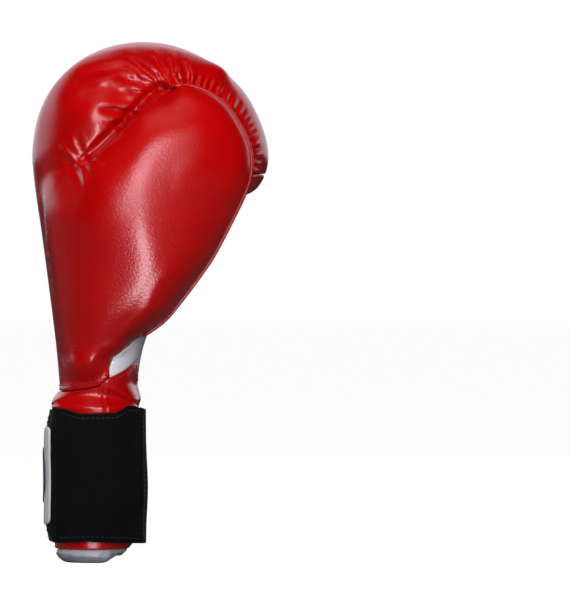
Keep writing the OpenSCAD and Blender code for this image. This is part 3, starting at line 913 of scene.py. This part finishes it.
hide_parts("slit_gore")


def build_wrist_leather():
    """Follows the fist's surface up to the seam, then tucks in under the fist's edge."""
    turns = np.linspace(0, 4, 240, endpoint=False)
    x, y, nx, ny = oval_frame(turns)
    top = wrist_seam(x + 24 * nx, y + 24 * ny)
    share = np.concatenate([np.linspace(0, 0.92, 34), np.linspace(0.93, 1.16, 20)])
    z = 91.4 + share[None, :] * (top - 91.4)[:, None]
    t = np.broadcast_to(turns[:, None], z.shape)
    fist_r = reach_of_fist(t.ravel(), z.ravel()).reshape(z.shape)
    past_seam = z - top[:, None]
    r = 25.3 + (fist_r - 25.3) * smooth((z - 95) / 11)
    r = r + 1.5 * facing_back(t) * bell(z - 97, 5) + 0.4 * bell(z - 97, 4.0)
    r = r + 0.45 * hills(t * TURN_MM, z * 1.6, 15, 31) * smooth((z - 93) / 5) * smooth(-past_seam / 5)
    side_seam = 1 + math.acos(6.5 / 25.6) / math.pi
    near = (t - side_seam) * 80
    seam = 0.5 * bell(near - 1.4, 1.2) - 0.8 * bell(near, 0.7)
    seam += 0.4 * bell(near + 1.6, 1.3)
    r = r + seam * smooth(-past_seam / 2)
    r = r - (SKIN + 0.3) * smooth((past_seam + 0.6) / 1.0)
    loop_r = np.concatenate([r, (r - 1.4)[:, ::-1]], 1)
    loop_z = np.concatenate([z, z[:, ::-1]], 1)
    points = on_oval(np.concatenate([t, t], 1), loop_r, loop_z)
    quads = grid_quads(*loop_r.shape, closed=True)
    points = points.reshape(-1, 3)
    piece = add_object("wrist_leather_gusset", points, flip_if_inward(points, quads), RED, None,
                       "red_leather")
    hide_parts("wrist_gusset")
    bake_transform(piece)


build_wrist_leather()


def rim_shift(turn, z, q):
    """The binding is gathered over the cord inside it, and drawn in at the palm side."""
    length = turn * TURN_MM + 0.15 * z
    ripple = 0.28 * np.cos(length / 5.3 * 2 * math.pi + 1.5 * hills(length, z * 2, 28, 41))
    ripple += 0.35 * hills(length, z * 3, 11, 42)
    sewn_down = 0.9 * bell(z - 7.4, 0.8)
    rolled_under = 5 * q * facing_back(turn) * np.clip((6.5 - z) / 6.5, 0, 1) ** 2
    gathered = (ripple - sewn_down * q) * smooth((9.8 - z) / 2)
    return gathered - drawn_in(turn, z) * (0.25 + 0.75 * q) - rolled_under


def rim_low(turn):
    return 0.05 + 4.2 * smooth(1.1 - 2.4 * facing_back(turn)) ** 1.5


rim = band("rim_binding_tape", CUFF_FROM, CUFF_TO, 16.6, 24.4, rim_low, 9.8, bulge=rim_shift, rows=0.6,
           material=BINDING, body="cuff", slot="white_binding")
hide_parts("rim_binding")

# ------------------------ strap
FOLD_Y = 18.0
TAB_TURN = 2 - 32 / 180    # the turn where the line lies that the tab turns on
TAB_END = 25.0
STRAP_OUT = 29.2           # half depth of the strap's outer face


def strap_wave(turn, z, q=1):
    """Slow unevenness of the webbing, which leans in at its edges on the back of the wrist."""
    lean = 2.0 * smooth((z - 80) / 14) + 1.4 * smooth((22 - z) / 9)
    fuller = 0.9 * bell(z - 48, 26) * bell(turn - 1.0, 0.12)
    lean = lean * smooth((turn - 1.78) / 0.16) * smooth((3.3 - turn) / 0.3)
    return 0.25 * hills(turn * TURN_MM, z, 46, 51) + fuller - lean


def across(turn):
    """Where a turn of the strap lies from the back of the wrist to the palm."""
    x, _, nx, _ = oval_frame(turn)
    return x + STRAP_OUT * nx


def strap_top(turn):
    wavy = at_height(across(turn), (-28, 95.6), (-20, 95), (-8, 91.8), (14, 92.3), (18, 94.5), (21.6, 96.8),
                     (26.5, 96.3), (30, 94.4))
    return np.where((turn > 0.95) & (turn < 1.9), wavy, 94.4)


def strap_low(turn):
    return at_height(across(turn), (-30, 13.6), (-24, 12.2), (-5, 13.2), (30, 12)) + 0.3 * np.sin(turn * 5)


def webbing_band(name, start, stop, r_in, r_out, body, stands_for, material=BLACK, inset=0.0,
                 bulge=strap_wave):
    piece = band(name, start, stop, r_in, r_out, lambda t: strap_low(t) + inset,
                 lambda t: strap_top(t) - inset,
                 bulge=bulge, rows=1.8, material=material, body=body, slot="black_webbing")
    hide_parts(stands_for)


fold_palm, fold_thumb = turn_at(FOLD_Y, 28, 0), turn_at(-FOLD_Y, 28, 0)
webbing_band("strap_anchor_webbing", 3.443, 4 + fold_palm - 0.003, 26.4, 29.4, "cuff", "strap_anchor")
webbing_band("strap_anchor_backing", 3.55, 3.95, 25.5, 26.3, "cuff", "strap_anchor_patch", inset=6)
webbing_band("strap_elastic_webbing", fold_palm + 0.003, fold_thumb - 0.003, 26.4, 29.4, "palm_strap",
             "strap_elastic")
# the side stretch and the tab both rise to the line that the tab turns on
webbing_band("strap_side_webbing", fold_thumb + 0.002, TAB_TURN - 0.001, 27.3, 29.2, "side_strap",
             "strap_side_band",
             bulge=lambda turn, z, q: strap_wave(turn, z) + 0.72 * smooth((turn - TAB_TURN + 0.055) / 0.045))
webbing_band("strap_side_backing", fold_thumb + 0.01, TAB_TURN - 0.012, 26.3, 27.2, "side_strap",
             "strap_side_lining", inset=2)
webbing_band("strap_side_fold", fold_thumb + 0.016, turn_at(-33, 29, 0), 29.3, 30.8, "side_strap",
             "strap_side_hem")
webbing_band("strap_tab_webbing", TAB_TURN + 0.001, turn_at(TAB_END, 29.3, 1), 28.3, 30.2, "tab",
             "strap_tab_band", BLACK_TAB,
             bulge=lambda turn, z, q: strap_wave(turn, z) - 0.28 * smooth((1.9 - turn) / 0.07))
webbing_band("tab_pull_fold", turn_at(TAB_END - 7, 31, 1), turn_at(TAB_END, 31, 1), 30.35, 31.6, "tab",
             "tab_pull_hem", BLACK_TAB, inset=1)
hooks = band("hook_patch_field", turn_at(-31, 28, 1), turn_at(19, 28, 1), 27.3, 28.2, 18, 89,
             bulge=strap_wave, material=HOOKS, body="tab", slot="hook_and_loop")
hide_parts("hook_patch")
loops = band("loop_patch_field", turn_at(-29, 26, 1), turn_at(22, 26, 1), 25.5, 26.5, 17, 90, material=LOOPS,
             body="cuff", slot="hook_and_loop", bulge=lambda t, z, q: 0.1 * hills(t * TURN_MM, z, 12, 55))
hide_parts("loop_patch")
PLATE_Z = 53.5             # height of the middle of both plates


def plate(name, middle_y, width, height, corner, r_in, r_out, **look):
    """A plate with rounded corners that lies on the tab."""
    start, stop = turn_at(middle_y - width / 2, r_out, 1), turn_at(middle_y + width / 2, r_out, 1)
    low, high = PLATE_Z - height / 2, PLATE_Z + height / 2

    def from_end(turns):
        along = np.where(turns < 2, (turns - 2) * math.pi * r_out, (turns - 2) * 2 * OVAL_Y)
        ends = [(start - 2) * (math.pi * r_out if start < 2 else 2 * OVAL_Y), (stop - 2) * 2 * OVAL_Y]
        inner = np.clip(np.minimum(along - ends[0], ends[1] - along), 0, corner)
        return corner - np.sqrt(corner**2 - (corner - inner) ** 2)

    return band(name, start, stop, r_in, r_out, lambda t: low + from_end(t), lambda t: high - from_end(t),
                bulge=strap_wave, rows=1.5, **look)


label = plate("tab_label_plate", -13, 46, 60, 5, 30.3, 32.0, material=LABEL, body="tab", slot="label_rubber")
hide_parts("label_patch")
emblem = plate("tab_label_emblem", -13, 34, 34, 15, 32.05, 32.7, material=EMBLEM, body="tab",
               slot="emblem_rubber")
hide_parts("label_emblem")

# ------------------------ piping and stitching
edge = curve_through([
    (46, 291.2), (55.6, 292.6), (68, 289.8), (80.3, 281.4), (89, 269.8), (95.2, 257.1), (97.1, 245),
    (95.6, 233.7), (91.5, 223.2), (85.7, 211.3), (79.1, 198.4), (72.5, 186.5), (63.5, 173.6),
    (54.1, 161.2), (45.2, 150.4), (38.3, 144.6), (30, 139.2),
], 6, False)
y_edge = at_height(edge[:, 1], *THUMB_Y) + 1.5
piping = tube("thumb_piping", np.stack([edge[:, 0], y_edge, edge[:, 1]], -1), 1.25, RED_EDGE, "fist",
              "red_leather")
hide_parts("thumb_welt")


def seam_line(start, stop, above):
    """A line beside the wrist seam, on the fist above it or on the wrist below it."""
    turns = np.linspace(start, stop, int(abs(stop - start) * 60))
    x, y, nx, ny = oval_frame(turns)
    heights = wrist_seam(x + 24 * nx, y + 24 * ny) + above
    return on_oval(turns, reach_of_fist(turns, heights), heights), np.stack([nx, ny, 0 * nx], -1)


leaf_turn = 1 + math.acos((10 - OVAL_X) / 24) / math.pi
stitches("fist_seam_stitches", *seam_line(leaf_turn + 0.02, 4.0, 3.6), THREAD_RED, "fist", "red_leather")
stitches("wrist_seam_stitches", *seam_line(0.0, leaf_turn, -2.4), THREAD_RED, "fist", "red_leather")


def strap_stitches(name, turns, r, heights, body):
    """A row of stitches on the strap, r out from the wrist's middle line."""
    _, _, nx, ny = oval_frame(turns)
    stitches(name, on_oval(turns, r + strap_wave(turns, heights), heights), np.stack([nx, ny, 0 * nx], -1),
             THREAD_BLACK, body, "black_webbing", 3.0, 2.2, 0.26)


for part, start, stop, r, body in (("side", fold_thumb + 0.15, TAB_TURN - 0.06, STRAP_OUT, "side_strap"),
                                   ("tab", TAB_TURN + 0.02, turn_at(17, 30, 1), 30.2, "tab")):
    turns = np.linspace(start, stop, max(3, int(abs(stop - start) * 60) + 3))
    strap_stitches(part + "_top_stitches", turns, r, strap_top(turns) - 3, body)
    strap_stitches(part + "_low_stitches", turns, r, strap_low(turns) + 3, body)
for part, turn, r, low, high, body in (("side", turn_at(-31, 29, 0), 30.8, 16, 91, "side_strap"),
                                       ("tab", turn_at(TAB_END - 5.5, 31, 1), 31.6, 17, 90, "tab")):
    strap_stitches(part + "_fold_stitches", np.full(40, turn), r, np.linspace(low, high, 40), body)

# ------------------------ the CAD node that stays
roll_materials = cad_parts["grip_roll"].data.materials
roll_materials.clear()
roll_materials.append(RUBBER)
